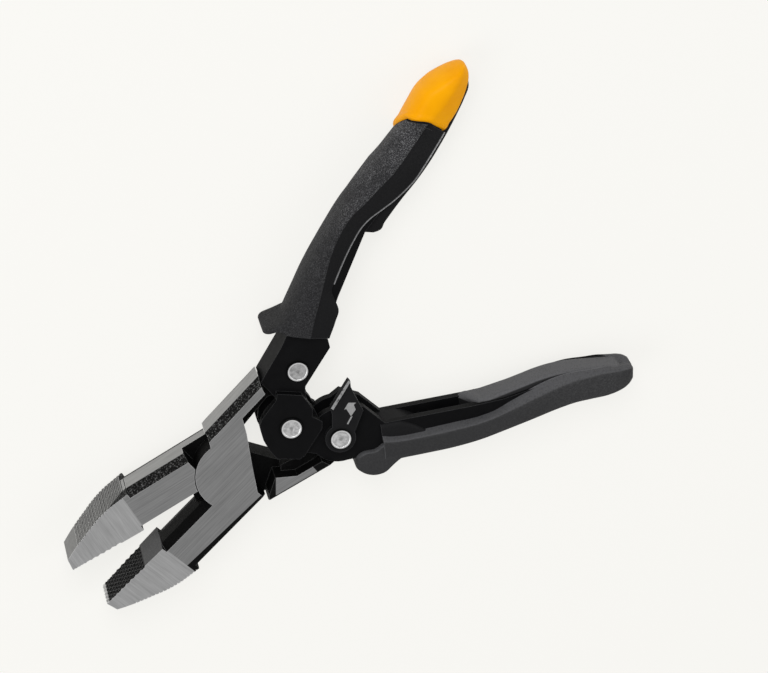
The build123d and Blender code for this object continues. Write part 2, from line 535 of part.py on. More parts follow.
def main():
    write(make_lower_jaw(), "lower_jaw")
    write(make_upper_jaw(), "upper_jaw")
    write(make_jaw_rivet(), "jaw_pivot_rivet")
    write(rivet(UPPER_PIN, LINK_SHANK_R, LINK_HEAD_R, -EAR_HIGH, EAR_HIGH, HEAD_RISE, HEAD_RISE), "upper_link_rivet")
    write(rivet(LOWER_PIN, LINK_SHANK_R, LINK_HEAD_R, -RAISED_LOW, LEVER_HIGH + LAYER_GAP, HEAD_RISE,
                LEVER_HEAD_RISE), "lower_link_rivet")
    write(rivet(MAIN_PIN, MAIN_SHANK_R, MAIN_HEAD_R, -RAISED_HIGH, RAISED_HIGH, HEAD_RISE, HEAD_RISE),
          "main_pivot_rivet")
    write(ring(LOWER_PIN, WASHER_R, LINK_SHANK_R + OPEN_PIVOT_PLAY, RAISED_LOW, RAISED_LOW + WASHER_WALL),
          "lever_washer")
    write(ring(MAIN_PIN, BUSH_R, MAIN_SHANK_R, -EAR_LOW + LAYER_GAP, EAR_LOW - LAYER_GAP), "spring_bush")
    write(disc(UPPER_SPRING_PIN, SPRING_PIN_R, -EAR_HIGH, EAR_HIGH), "upper_spring_pin")
    write(disc(LOWER_SPRING_PIN, SPRING_PIN_R, -EAR_HIGH, EAR_HIGH), "lower_spring_pin")
    write(make_spring(), "return_spring")
    write(make_lever(), "lock_lever")
    upper_channel = make_upper_channel()
    lower_channel = make_lower_channel()
    write(upper_channel, "upper_handle_channel")
    write(lower_channel, "lower_handle_channel")
    upper_outline = channel_outline(UPPER_NECK_SHARES, UPPER_INNER_SHARES, UPPER_OUTER_SHARES,
                                    UPPER_NECK_OUTER_SHARES, UPPER_REACH)
    lower_outline = channel_outline(LOWER_NECK_SHARES, LOWER_INNER_SHARES, LOWER_OUTER_SHARES,
                                    LOWER_NECK_OUTER_SHARES, LOWER_REACH)
    upper = make_grip(UPPER_GRIP_SHARES, UPPER_GUARD_SHARES, UPPER_WINDOW_SHARES, UPPER_LINER_SHARES,
                      UPPER_RIDGE_SHARES, END_LINE_SHARES, upper_channel, upper_outline, UPPER_REACH, -1, UPPER_ANGLE)
    lower = make_grip(LOWER_GRIP_SHARES, LOWER_GUARD_SHARES, LOWER_WINDOW_SHARES, LOWER_LINER_SHARES,
                      LOWER_RIDGE_SHARES, None, lower_channel, lower_outline, LOWER_REACH, 1, LOWER_ANGLE)
    for name, parts in (("upper", upper), ("lower", lower)):
        for piece, shape in parts.items():
            write(shape, f"{name}_grip_{piece}")


main()
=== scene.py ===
import math
from types import SimpleNamespace

import bmesh
import bpy
import numpy as np
from mathutils import Matrix, Vector


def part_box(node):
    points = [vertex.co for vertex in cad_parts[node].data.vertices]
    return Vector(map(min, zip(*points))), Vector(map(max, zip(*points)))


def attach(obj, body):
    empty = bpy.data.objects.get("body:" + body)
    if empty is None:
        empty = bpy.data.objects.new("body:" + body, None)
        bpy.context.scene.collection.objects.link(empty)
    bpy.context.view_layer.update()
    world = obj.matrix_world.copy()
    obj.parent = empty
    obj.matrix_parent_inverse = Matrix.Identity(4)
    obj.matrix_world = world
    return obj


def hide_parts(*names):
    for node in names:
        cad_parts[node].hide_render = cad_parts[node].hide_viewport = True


bl_info = {
    "name": "Compound leverage pliers",
    "version": (1, 0, 0),
    "blender": (4, 5, 0),
    "location": "View3D > Sidebar > Pliers",
    "description": "Dresses the packed pliers: ground and blackened steel, rubber grips and a studio",
    "category": "Object",
}

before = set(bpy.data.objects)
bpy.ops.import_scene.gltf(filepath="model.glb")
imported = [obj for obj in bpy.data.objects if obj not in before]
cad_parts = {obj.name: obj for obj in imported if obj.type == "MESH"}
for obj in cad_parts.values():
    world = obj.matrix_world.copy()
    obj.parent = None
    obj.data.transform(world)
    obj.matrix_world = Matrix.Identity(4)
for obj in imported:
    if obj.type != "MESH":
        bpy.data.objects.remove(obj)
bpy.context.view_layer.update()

MM = 0.001


def centre_of(node):
    """The middle of a CAD node's box, in millimetres to the nearest tenth."""
    low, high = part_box(node)
    return tuple(round(0.5 * (a + b) / MM, 1) for a, b in zip(low, high))


MIDDLE = centre_of("lower_jaw")[2]  # height of the plane about which the two broad sides mirror each other
MAIN_PIN = centre_of("main_pivot_rivet")[:2]
OPEN_HALF_ANGLE = 7.7  # degrees by which each jaw stands open at rest
UPPER_ANGLE = 30.0  # degrees from +X to the upper handle
LOWER_ANGLE = -31.0


def towards_other(angle):
    """Unit vector across the handle at that angle, towards the other handle: a quarter turn from
    its own direction."""
    turn = math.radians(angle)
    way = math.copysign(1.0, angle)
    return way * math.sin(turn), -way * math.cos(turn), 0.0


# Colour and node helpers

def linear(colour):
    """A colour written as an sRGB hex value, as linear red, green, blue and an alpha of 1."""
    shares = [int(colour[at:at + 2], 16) / 255 for at in (1, 3, 5)]
    return tuple(c / 12.92 if c <= 0.04045 else ((c + 0.055) / 1.055) ** 2.4 for c in shares) + (1.0,)


def add(tree, kind, inputs=None, out=0, **settings):
    """Adds a shader node and returns one of its outputs, or all of them where out is None. Inputs maps names
    or numbers of sockets to values or to outputs of other nodes. Settings are properties of the node."""
    node = tree.nodes.new("ShaderNode" + kind)
    for name, value in settings.items():
        setattr(node, name, value)
    for place, value in (inputs or {}).items():
        if isinstance(value, bpy.types.NodeSocket):
            tree.links.new(value, node.inputs[place])
        else:
            node.inputs[place].default_value = value
    return node.outputs if out is None else node.outputs[out]


def new_material(name):
    """An empty material and its tree of nodes."""
    material = bpy.data.materials.new(name)
    material.use_nodes = True
    material.node_tree.nodes.clear()
    return material, material.node_tree


def shade(tree, inputs):
    """Ends a material: a principled shader with these inputs, on the material's output."""
    add(tree, "OutputMaterial", {"Surface": add(tree, "BsdfPrincipled", inputs)}, None)


def share(tree, *parts):
    """The product of its parts. A part is a share already, or a value and two limits: a smooth step that is
    0 at the first limit and 1 at the second, which may be the lower one."""
    product = None
    for part in parts:
        if isinstance(part, tuple):
            value, low, high = part
            part = add(tree, "MapRange", {0: value, 1: low, 2: high}, interpolation_type="SMOOTHSTEP")
        product = part if product is None else add(tree, "Math", {0: product, 1: part}, operation="MULTIPLY")
    return product


def either(tree, first, *others):
    """The largest of several shares."""
    for other in others:
        first = add(tree, "Math", {0: first, 1: other}, operation="MAXIMUM")
    return first


def painted(tree, base, *layers):
    """A colour under layers of others. A layer is its share and its colour. A colour is a hex value
    or an output."""
    for amount, colour in layers:
        under, over = (linear(c) if isinstance(c, str) else c for c in (base, colour))
        base = add(tree, "Mix", {0: amount, 6: under, 7: over}, 2, data_type="RGBA")
    return base


def object_place(tree, size=(1, 1, 1)):
    """Object coordinates in millimetres, stretched along each axis."""
    place = add(tree, "TexCoord", out="Object")
    return add(tree, "VectorMath", {0: place, 1: tuple(s / MM for s in size)}, operation="MULTIPLY")


def edge_highlight_and_wear(tree, width):
    """1 on edges and 0 on flats: how far the normal of an edge rounded to width mm turns from
    the true one. It marks paler edges, a painted edge highlight over worn edges."""
    soft = add(tree, "Bevel", {"Radius": width * MM}, samples=6)
    true = add(tree, "NewGeometry", out="Normal")
    turn = add(tree, "VectorMath", {0: soft, 1: true}, "Value", operation="DOT_PRODUCT")
    return share(tree, (turn, 0.985, 0.9))


def left_of(tree, place, start, end):
    """Millimetres by which a place lies to the left of the line from start to end, seen from above."""
    way = Vector((end[0] - start[0], end[1] - start[1])).normalized()
    side = (-way.y, way.x, 0.0)
    dot = add(tree, "VectorMath", {0: place, 1: side}, "Value", operation="DOT_PRODUCT")
    return add(tree, "Math", {0: dot, 1: side[0] * start[0] + side[1] * start[1]}, operation="SUBTRACT")


# Steel of the jaws

# Places along the nose are in mm from the jaw pivot, with the tip at the negative end.
NOSE_START = -40.3
TEETH_START = -50.8
RIBS_END = -65.0
TIP_FACE = -71.3
BROAD_FACE = (6.6, 6.9)  # mm from the middle plane, between which the ground broad faces begin
LAND_EDGE = (4.3, 3.9)  # mm from the middle plane, between which the ground land of the outer side ends
NOSE_SLOPE = 0.6  # mm by which the land widens on the nose for each mm towards the tip
PIVOT_EDGE = (7.5, 8.5)  # mm from the jaw pivot, between which worn edges begin
# Lines in x and y of the forging, in mm. What lies to the left of them is ground.
TAIL_LAND = (((6.6, -17.9), (24.0, -20.7)), ((24.2, -21.0), (24.2, 0.0)), ((10.6, -11.9), (6.9, -16.5)))
CHEEK_EDGE = ((0.2, 14.0), (-41.4, 18.2))


def past(place, blend=0.2):
    """Limits of a smooth step that is 1 beyond a place towards the tip, blend mm to both sides of it."""
    return place + blend, place - blend


def jaw_places(tree, side):
    """Where a point of a jaw is and which way it faces. nose is the point in mm, turned so that x runs along
    the nose, and x and z are two of its parts. tail is 1 behind the pivot. height is from the middle plane,
    up and outward say how far the face looks to a broad side and away from the other jaw, and forging is the
    point in mm with the lower jaw turned over onto the upper one."""
    at = add(tree, "TexCoord", out=None)
    turn = (0, 0, math.radians(OPEN_HALF_ANGLE) * side)
    nose = add(tree, "Mapping", {0: at["Object"], 2: turn, 3: (1 / MM, 1 / MM, 1 / MM)})
    x, _, z = add(tree, "SeparateXYZ", {0: nose}, None)
    above = add(tree, "Math", {0: z, 1: MIDDLE}, operation="SUBTRACT")
    tail = share(tree, (x, 2.0, 3.0))
    direction = add(tree, "Math", {0: tail, 1: -2.0 * side, 2: side}, operation="MULTIPLY_ADD")
    across = add(tree, "SeparateXYZ", {0: add(tree, "Mapping", {0: at["Normal"], 2: turn})}, 1)
    upright = add(tree, "SeparateXYZ", {0: at["Normal"]}, 2)
    over = (1 / MM, side / MM, side / MM)
    return SimpleNamespace(
        nose=nose, x=x, z=z, tail=tail, side=side,
        height=add(tree, "Math", {0: above}, operation="ABSOLUTE"),
        up=add(tree, "Math", {0: upright}, operation="ABSOLUTE"),
        outward=share(tree, across, direction),
        forging=add(tree, "VectorMath", {0: at["Object"], 1: over}, operation="MULTIPLY"))


def ground_shares(tree, jaw):
    """Where the jaw is ground bright, where that is the nose, and where it is the land of the outer
    side. The broad faces are ground up to the edges of cheek and tail, and the land up to a line that
    slopes on the nose."""
    on_nose = share(tree, (jaw.x, *past(NOSE_START, 0.1)))
    upper_face = add(tree, "Math", {0: add(tree, "SeparateXYZ", {0: jaw.forging}, 2), 1: jaw.side * MIDDLE},
                     operation="GREATER_THAN")
    tail_lines = [(left_of(tree, jaw.forging, *line), 0.0, 0.15) for line in TAIL_LAND]
    tail_land = share(tree, jaw.tail, *tail_lines)
    tail_land = either(tree, tail_land, add(tree, "Math", {0: 1.0, 1: jaw.tail}, operation="SUBTRACT"))
    cheek_land = share(tree, (left_of(tree, jaw.forging, *CHEEK_EDGE), 0.0, 0.15))
    cheek_land = either(tree, cheek_land, on_nose)
    limit = add(tree, "Mix", {0: upper_face, 2: cheek_land, 3: tail_land})
    broad = share(tree, (jaw.up, 0.93, 0.97), (jaw.height, *BROAD_FACE), limit)
    slope = add(tree, "Math", {0: jaw.x, 1: NOSE_SLOPE, 2: -NOSE_SLOPE * NOSE_START - MIDDLE},
                operation="MULTIPLY_ADD")
    slope = add(tree, "Math", {0: slope, 1: jaw.z}, operation="ADD")
    nose_side = share(tree, (jaw.x, *past(NOSE_START + 0.5)), (slope, *LAND_EDGE))
    flat = share(tree, (jaw.height, *LAND_EDGE))
    land = share(tree, (jaw.outward, 0.55, 0.7), either(tree, flat, nose_side))
    tip = share(tree, (jaw.x, *past(TIP_FACE, 0.3)))
    return either(tree, broad, land, tip), on_nose, land


def ground_colour(tree, jaw, lines, on_nose, land):
    """Bare steel along its grinding lines: light on the nose, grey on the cheeks and the land, dark on the
    ribs of the nose's outer side, and a little clouded."""
    outer = painted(tree, "#808080", (lines, "#B2B2B2"))
    ribs = painted(tree, "#262626", (lines, "#545454"))
    plain = painted(tree, "#5C5C5C", (lines, "#828282"))
    ribs = painted(tree, ribs, (share(tree, (jaw.x, *past(RIBS_END))), plain))
    outer = painted(tree, outer, (share(tree, (jaw.x, *past(NOSE_START + 0.3, 0.5))), ribs))
    cheek = painted(tree, "#747474", (lines, "#BEBEBE"))
    nose = painted(tree, "#9A9A9A", (lines, "#E6E6E6"))
    clouds = add(tree, "TexNoise", {"Vector": jaw.nose, "Scale": 0.12, "Detail": 2.0})
    return painted(tree, cheek, (on_nose, nose), (share(tree, land, 0.9), outer),
                   (share(tree, clouds, 0.25), "#7A7A7A"))


def scale_colour(tree, jaw, edges_lit_and_worn):
    """Black forging scale, with pale specks on the outer slopes, a grey facet before the teeth, and paler
    edges and crests of teeth: worn steel under a painted edge highlight."""
    specks = add(tree, "TexNoise", {"Vector": jaw.nose, "Scale": 1.5, "Detail": 2.0, "Roughness": 0.6})
    specks = share(tree, (specks, 0.52, 0.66), (jaw.outward, 0.5, 0.7), (jaw.height, 3.9, 4.2))
    inner = share(tree, (jaw.outward, -0.4, -0.55), (jaw.x, *past(NOSE_START - 0.5)))
    teeth = share(tree, (jaw.x, *past(TEETH_START)))
    facet = share(tree, inner, add(tree, "Math", {0: 0.9, 1: teeth}, operation="SUBTRACT"))
    crests = add(tree, "Math", {0: share(tree, inner, teeth), 1: 0.5, 2: 0.45}, operation="MULTIPLY_ADD")
    return painted(tree, "#090909", (specks, "#585858"), (facet, "#6A6A6A"),
                   (share(tree, edges_lit_and_worn, crests), "#6E6E6E"))


# The worn share is how far edges turn near-white: painted edge highlight over worn steel.
def jaw_steel(name, side, worn=0.8):
    """Drop-forged carbon steel: blackened all over, then ground bright on the broad faces, the nose and the
    land of the outer side. Grinding leaves fine lines, along the cheeks and across the nose. The forged
    slopes between face and land stay rough and black, with bright specks where the scale has worn. side is 1
    where the nose opens towards +Y and -1 where it opens towards -Y."""
    material, tree = new_material(name)
    jaw = jaw_places(tree, side)
    bright, on_nose, land = ground_shares(tree, jaw)
    level = add(tree, "VectorMath", {0: jaw.forging, 1: (1, 1, 0)}, operation="MULTIPLY")
    from_pivot = add(tree, "VectorMath", {0: level}, "Value", operation="LENGTH")
    # Paler edges away from the pivot: painted edge highlight over worn steel.
    edges_lit_and_worn = share(tree, edge_highlight_and_wear(tree, 0.35), (from_pivot, *PIVOT_EDGE))
    along = add(tree, "VectorMath", {0: jaw.nose, 1: (0.05, 2.2, 0.6)}, operation="MULTIPLY")
    across = add(tree, "VectorMath", {0: jaw.nose, 1: (1.3, 0.05, 0.3)}, operation="MULTIPLY")
    lines = add(tree, "Mix", {
        0: on_nose,
        2: add(tree, "TexNoise", {"Vector": along, "Scale": 1.0, "Detail": 3.0, "Roughness": 0.7}),
        3: add(tree, "TexNoise", {"Vector": across, "Scale": 1.0, "Detail": 3.0, "Roughness": 0.75}),
    })
    scale = add(tree, "TexNoise", {"Vector": jaw.nose, "Scale": 1.1, "Detail": 4.0, "Roughness": 0.75})
    forged = add(tree, "Bump", {"Strength": 0.9, "Distance": 0.35 * MM, "Height": scale})
    ground = add(tree, "Bump", {"Strength": 0.25, "Distance": 0.05 * MM, "Height": lines})
    bare = ground_colour(tree, jaw, lines, on_nose, land)
    bare = painted(tree, bare, (share(tree, edges_lit_and_worn, worn), "#F0F0F0"))
    shade(tree, {
        "Base Color": painted(tree, scale_colour(tree, jaw, edges_lit_and_worn), (bright, bare)),
        "Metallic": add(tree, "MapRange", {0: bright, 3: 0.1, 4: 0.9}),
        "Roughness": add(tree, "MapRange", {0: bright, 3: 0.62, 4: 0.42}),
        "Normal": add(tree, "Mix", {0: bright, 4: forged, 5: ground}, 1, data_type="VECTOR"),
        "Specular IOR Level": 0.08,
    })
    return material


# Other steel

RIVETS = [centre_of(node)[:2] for node in ("main_pivot_rivet", "lower_link_rivet", "upper_link_rivet")]
FAR = 99.0  # mm, farther than any point of a rivet is from its centre


def rivet_steel(name, dark, light):
    """Turned and upset steel rivet: a bright satin face with faint dents from the press, a small dimple in
    the middle, darkened with painted shade, and a raised rim lightened with a painted highlight. Outside the
    rim a dark band round the edge of the head is a painted contact shadow."""
    material, tree = new_material(name)
    place = object_place(tree)
    level = add(tree, "VectorMath", {0: place, 1: (1, 1, 0)}, operation="MULTIPLY")
    radius = FAR
    for x, y in RIVETS:
        away = add(tree, "VectorMath", {0: level, 1: (x, y, 0)}, "Value", operation="DISTANCE")
        radius = add(tree, "Math", {0: away, 1: radius}, operation="MINIMUM")
    # The dimple is a dent in the bump, and its darker grey is painted shade.
    dimple = share(tree, (radius, 1.2, 0.3))
    # The rim is raised in the bump, and its near-white colour is a painted highlight.
    rim = share(tree, (radius, 3.15, 3.4))
    # Painted contact shadow: the outer edge of the head turns near black and loses its metal.
    shadow_ring = share(tree, (radius, 3.75, 3.9))
    dents = add(tree, "TexNoise", {"Vector": place, "Scale": 0.5, "Detail": 3.0, "Roughness": 0.6})
    fine = add(tree, "TexNoise", {"Vector": place, "Scale": 3.0, "Detail": 2.0})
    raised = add(tree, "Math", {0: dents, 1: 0.5, 2: rim}, operation="MULTIPLY_ADD")
    relief = add(tree, "Math", {0: raised, 1: dimple}, operation="SUBTRACT")
    shade(tree, {
        "Base Color": painted(tree, dark, (share(tree, (dents, 0.3, 0.7)), light),
                              (share(tree, dimple, 0.5), "#808080"), (share(tree, rim, 0.8), "#F6F6F6"),
                              (shadow_ring, "#0A0A0B")),
        "Metallic": add(tree, "MapRange", {0: shadow_ring, 3: 0.85, 4: 0.1}),
        "Roughness": add(tree, "MapRange", {0: fine, 3: 0.3, 4: 0.5}),
        "Normal": add(tree, "Bump", {"Strength": 0.5, "Distance": 0.3 * MM, "Height": relief}),
        "Specular IOR Level": 0.08,
    })
    return material


def black_skin(tree, place, light, dark):
    """Shader inputs of black oxide: a thin dark satin skin with faint cloudiness, a fine tooth
    and paler edges, a painted edge highlight over worn oxide."""
    clouds = add(tree, "TexNoise", {"Vector": place, "Scale": 0.2, "Detail": 4.0, "Roughness": 0.65})
    tooth = add(tree, "TexNoise", {"Vector": place, "Scale": 3.5, "Detail": 3.0, "Roughness": 0.6})
    # Paler edges: painted edge highlight over worn oxide.
    worn = share(tree, edge_highlight_and_wear(tree, 0.3), 0.6)
    return {
        "Base Color": painted(tree, dark, (clouds, light), (worn, "#4A4A4C")),
        "Roughness": add(tree, "MapRange", {0: clouds, 3: 0.45, 4: 0.65}),
        "IOR": 1.5,
        "Normal": add(tree, "Bump", {"Strength": 0.25, "Distance": 0.08 * MM, "Height": tooth}),
        "Specular IOR Level": 0.06,
    }


def black_steel():
    """Pressed steel, black oxide: nearly black, satin, with a little light on its cut edges."""
    material, tree = new_material("black_oxide_pressed_steel")
    shade(tree, black_skin(tree, object_place(tree), "#101011", "#070708"))
    return material


def lever_steel():
    """Black pressed steel whose turned-up tab is bright on its top edge: painted highlight over worn steel.
    """
    material, tree = new_material("black_pressed_steel_with_lit_and_worn_tab")
    place = object_place(tree)
    inputs = black_skin(tree, place, "#1E1E1F", "#131314")
    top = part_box("lock_lever")[1].z / MM
    height = add(tree, "SeparateXYZ", {0: place}, 2)
    facing = add(tree, "SeparateXYZ", {0: add(tree, "TexCoord", out="Normal")}, 2)
    patches = add(tree, "TexNoise", {"Vector": place, "Scale": 0.9, "Detail": 3.0, "Roughness": 0.6})
    # The up-facing top of the tab takes a pale grey: painted highlight over worn steel.
    worn = share(tree, (height, top - 0.3, top - 0.15), (facing, 0.8, 0.9), (patches, 0.25, 0.5))
    inputs["Base Color"] = painted(tree, inputs["Base Color"], (worn, "#8C8C8C"))
    shade(tree, inputs)
    return material


def spring_wire():
    """Drawn spring wire: bright, with faint lines along it."""
    material, tree = new_material("drawn_spring_wire")
    place = object_place(tree, (0.6, 0.6, 4.0))
    lines = add(tree, "TexNoise", {"Vector": place, "Scale": 1.2, "Detail": 2.0})
    colour = painted(tree, "#6A6A6A", (lines, "#B6B6B6"))
    shade(tree, {"Base Color": colour, "Metallic": 0.9, "Roughness": 0.3})
    return material


# Rubber and plastic

BLOOM = (50.0, 135.0)  # mm from the main pivot, between which the grain turns paler: painted highlight over worn grain


def rubber(name, dark, light, grain, strength, shine, specks=0.0, edge="#2C2C2D", painted_light_colour=None, angle=0.0):
    """Moulded rubber or nylon with small rounded pits grain mm apart. Pale specks on the tips of the grain
    are
    painted glints over worn grain, more of them towards the end of the handle, and edges are a little paler:
    painted edge highlight over worn edges. With a painted light colour, the faces that look towards the
    other handle take it as a painted highlight."""
    material, tree = new_material(name)
    place = object_place(tree)
    pits = add(tree, "TexVoronoi", {"Vector": place, "Scale": 1 / grain}, feature="SMOOTH_F1")
    fine = add(tree, "TexNoise", {"Vector": place, "Scale": 0.9 / grain, "Detail": 3.0, "Roughness": 0.65})
    clouds = add(tree, "TexNoise", {"Vector": place, "Scale": 0.07, "Detail": 3.0, "Roughness": 0.6})
    height = add(tree, "Math", {0: pits, 1: 0.8, 2: share(tree, fine, 0.6)}, operation="MULTIPLY_ADD")
    away = add(tree, "VectorMath", {0: place, 1: (*MAIN_PIN, MIDDLE)}, "Value", operation="DISTANCE")
    # The grain turns paler towards the end of the handle: painted highlight over worn grain.
    worn = share(tree, (away, *BLOOM), (clouds, 0.25, 0.6))
    bloom = add(tree, "Math", {0: worn, 1: 0.6, 2: 0.4}, operation="MULTIPLY_ADD")
    colour = painted(tree, dark, (share(tree, (fine, 0.3, 0.7), bloom), light))
    # Painted highlight where light falls: the faces that look towards the other handle take the paler
    # colour.
    if painted_light_colour:
        normal = add(tree, "TexCoord", out="Normal")
        inner = towards_other(angle)
        facing = add(tree, "VectorMath", {0: normal, 1: inner}, "Value", operation="DOT_PRODUCT")
        colour = painted(tree, colour, (share(tree, (facing, 0.25, 0.7), (fine, 0.0, 0.6)), painted_light_colour))
    # Pale specks on the tips of the grain: painted glints over worn grain.
    tips = add(tree, "TexNoise", {"Vector": place, "Scale": 2.0 / grain, "Detail": 2.0, "Roughness": 0.7})
    density = add(tree, "Math", {0: worn, 1: 0.8, 2: 0.2}, operation="MULTIPLY_ADD")
    # The last layer below gives paler edges: painted edge highlight over worn edges.
    colour = painted(tree, colour, (share(tree, density, (tips, 0.5, 0.68), specks), "#8A8A8C"),
                     (share(tree, edge_highlight_and_wear(tree, 0.3), 0.6), edge))
    shade(tree, {
        "Base Color": colour,
        "Roughness": 0.62,
        "IOR": 1.5,
        "Normal": add(tree, "Bump", {"Strength": strength, "Distance": 0.3 * MM, "Height": height}),
        "Specular IOR Level": shine,
    })
    return material


def pad_rubber(settings):
    """Grained thermoplastic rubber of the upper pad: matt black that greys and sparkles towards the end,
    with painted highlight and painted glints over worn grain.
    """
    return rubber("grained_thermoplastic_rubber", "#19191A", settings.pad_colour, settings.grain / MM,
                  strength=0.8, shine=0.12, specks=0.75)


def lower_rubber(settings):
    """Fine grained thermoplastic rubber of the lower pad: an even dark grey, with a painted highlight
    on the faces that look towards the other handle."""
    return rubber("fine_grained_thermoplastic_rubber", "#2C2C2D", "#3A3A3B", settings.grain / MM,
                  strength=0.3, shine=0.15, specks=0.1, edge="#6C6C6E", painted_light_colour="#4A4A4C", angle=LOWER_ANGLE)


def band_rubber():
    """Smooth moulded rubber of the bands: deep black with a thin grey edge of painted edge highlight
    over worn rubber.
    """
    return rubber("smooth_moulded_rubber", "#151516", "#202021", 0.5, strength=0.08, shine=0.08,
                  edge="#505051")


def edge_highlight_line():
    """The thin pale line along a parting edge: a painted edge highlight, nearly white over the black, with
    some rubbing.
    """
    return rubber("lit_and_rubbed_parting_edge", "#6A6A6B", "#A8A8A9", 0.5, strength=0.1, shine=0.2)


def liner_nylon():
    """Moulded black nylon of the upper liner: the darkest of the grips, with pale edges of painted
    edge highlight over worn nylon.
    """
    return rubber("moulded_black_nylon", "#101011", "#161617", 0.4, strength=0.08, shine=0.1, edge="#6A6A6B")


def lower_liner_nylon():
    """Moulded dark nylon of the lower liner: dark grey, with a painted highlight where it faces
    the other handle.
    """
    return rubber("moulded_dark_nylon", "#1C1C1D", "#262627", 0.4, strength=0.15, shine=0.15, edge="#7A7A7B",
                  painted_light_colour="#58585A", angle=LOWER_ANGLE)


def yellow_plastic(colour_hex):
    """Glossy moulded polypropylene, warm yellow: faint flow marks and a soft sheen."""
    material, tree = new_material("moulded_yellow_polypropylene")
    place = object_place(tree)
    clouds = add(tree, "TexNoise", {"Vector": place, "Scale": 0.09, "Detail": 3.0, "Roughness": 0.55})
    fine = add(tree, "TexNoise", {"Vector": place, "Scale": 2.2, "Detail": 2.0})
    shade(tree, {
        "Base Color": painted(tree, colour_hex, (clouds, "#E29200")),
        "Roughness": add(tree, "MapRange", {0: fine, 3: 0.36, 4: 0.48}),
        "IOR": 1.49,
        "Normal": add(tree, "Bump", {"Strength": 0.12, "Distance": 0.08 * MM, "Height": fine}),
        "Specular IOR Level": 0.07,
    })
    return material


def arrow_paint():
    """Pale grey printed mark, matt."""
    material, tree = new_material("printed_grey_mark")
    patches = add(tree, "TexNoise", {"Vector": object_place(tree), "Scale": 1.5, "Detail": 2.0})
    shade(tree, {"Base Color": painted(tree, "#7A7A7A", (patches, "#9C9C9C")), "Roughness": 0.6})
    return material


def dress(node, material):
    """Gives a CAD node that material."""
    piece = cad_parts[node]
    piece.data.materials.clear()
    piece.data.materials.append(material)


# Studio

CAMERA_AZIMUTH = 72.0  # degrees from +X to the camera, seen from above
CAMERA_ELEVATION = 62.3  # degrees above the table
CAMERA_ROLL = 157.67  # degrees by which the camera turns about its own view
CAMERA_DISTANCE = 1500.0  # mm from its target
CAMERA_TARGET = (77.07, 2.34, MIDDLE)
LENS = 185.0  # mm, on a sensor 36 mm wide
FLOOR_HALF = 3.0  # metres
PALE = "#FBFAF6"
LIGHTS = (
    # name, place, size, watts
    ("top_softbox", (0.45, 0.95, 1.1), 0.7, 11.0),
    ("left_softbox", (-0.75, 0.35, 0.9), 0.7, 5.0),
    ("right_softbox", (0.9, -0.5, 0.9), 0.9, 3.5),
)


def make_camera():
    """The camera looks down its own axis at the target: turned to its azimuth, tipped to its elevation,
    rolled, and moved back by its distance."""
    data = bpy.data.cameras.new("camera")
    data.lens = LENS
    data.sensor_width = 36.0
    data.clip_end = 10.0
    camera = bpy.data.objects.new("camera", data)
    camera.matrix_world = (Matrix.Translation(Vector(CAMERA_TARGET) * MM)
                           @ Matrix.Rotation(math.radians(CAMERA_AZIMUTH + 90), 4, "Z")
                           @ Matrix.Rotation(math.radians(90 - CAMERA_ELEVATION), 4, "X")
                           @ Matrix.Rotation(math.radians(CAMERA_ROLL), 4, "Z")
                           @ Matrix.Translation((0, 0, CAMERA_DISTANCE * MM)))
    bpy.context.scene.collection.objects.link(camera)
    bpy.context.scene.camera = camera


def pale_material():
    """Matt pale card. It shows as its own colour to the camera and in reflections, and
    keeps soft shadows."""
    material, tree = new_material("matt_pale_card")
    path = add(tree, "LightPath", out=None)
    seen = share(tree, either(tree, path["Is Camera Ray"], path["Is Glossy Ray"]), 0.85)
    matt = add(tree, "BsdfDiffuse", {"Color": linear(PALE)})
    glow = add(tree, "Emission", {"Color": linear(PALE), "Strength": 0.96})
    surface = add(tree, "MixShader", {0: seen, 1: matt, 2: glow})
    add(tree, "OutputMaterial", {"Surface": surface}, None)
    return material


def make_floor():
    """A level square of card under the pliers."""
    corners = [(x * FLOOR_HALF, y * FLOOR_HALF, 0) for x, y in ((-1, -1), (1, -1), (1, 1), (-1, 1))]
    mesh = bpy.data.meshes.new("floor")
    mesh.from_pydata(corners, [], [(0, 1, 2, 3)])
    mesh.materials.append(pale_material())
    floor = bpy.data.objects.new("floor", mesh)
    bpy.context.scene.collection.objects.link(floor)


def make_world():
    """Soft white light from all round, seen by the camera as the pale card."""
    world = bpy.data.worlds.new("studio")
    world.use_nodes = True
    tree = world.node_tree
    tree.nodes.clear()
    soft = add(tree, "Background", {"Color": linear("#FFFFFF"), "Strength": 0.42})
    seen = add(tree, "Background", {"Color": linear(PALE), "Strength": 1.0})
    light = add(tree, "MixShader", {0: add(tree, "LightPath", out="Is Camera Ray"), 1: soft, 2: seen})
    add(tree, "OutputWorld", {"Surface": light}, None)
    bpy.context.scene.world = world


def make_lights():
    """Square softboxes that face the middle of the table."""
    for name, place, size, watts in LIGHTS:
        data = bpy.data.lights.new(name, "AREA")
        data.size = size
        data.energy = watts
        light = bpy.data.objects.new(name, data)
        facing = (-Vector(place)).to_track_quat("-Z", "Y").to_matrix().to_4x4()
        light.matrix_world = Matrix.Translation(place) @ facing
        bpy.context.scene.collection.objects.link(light)


# Surfaces computed on grids

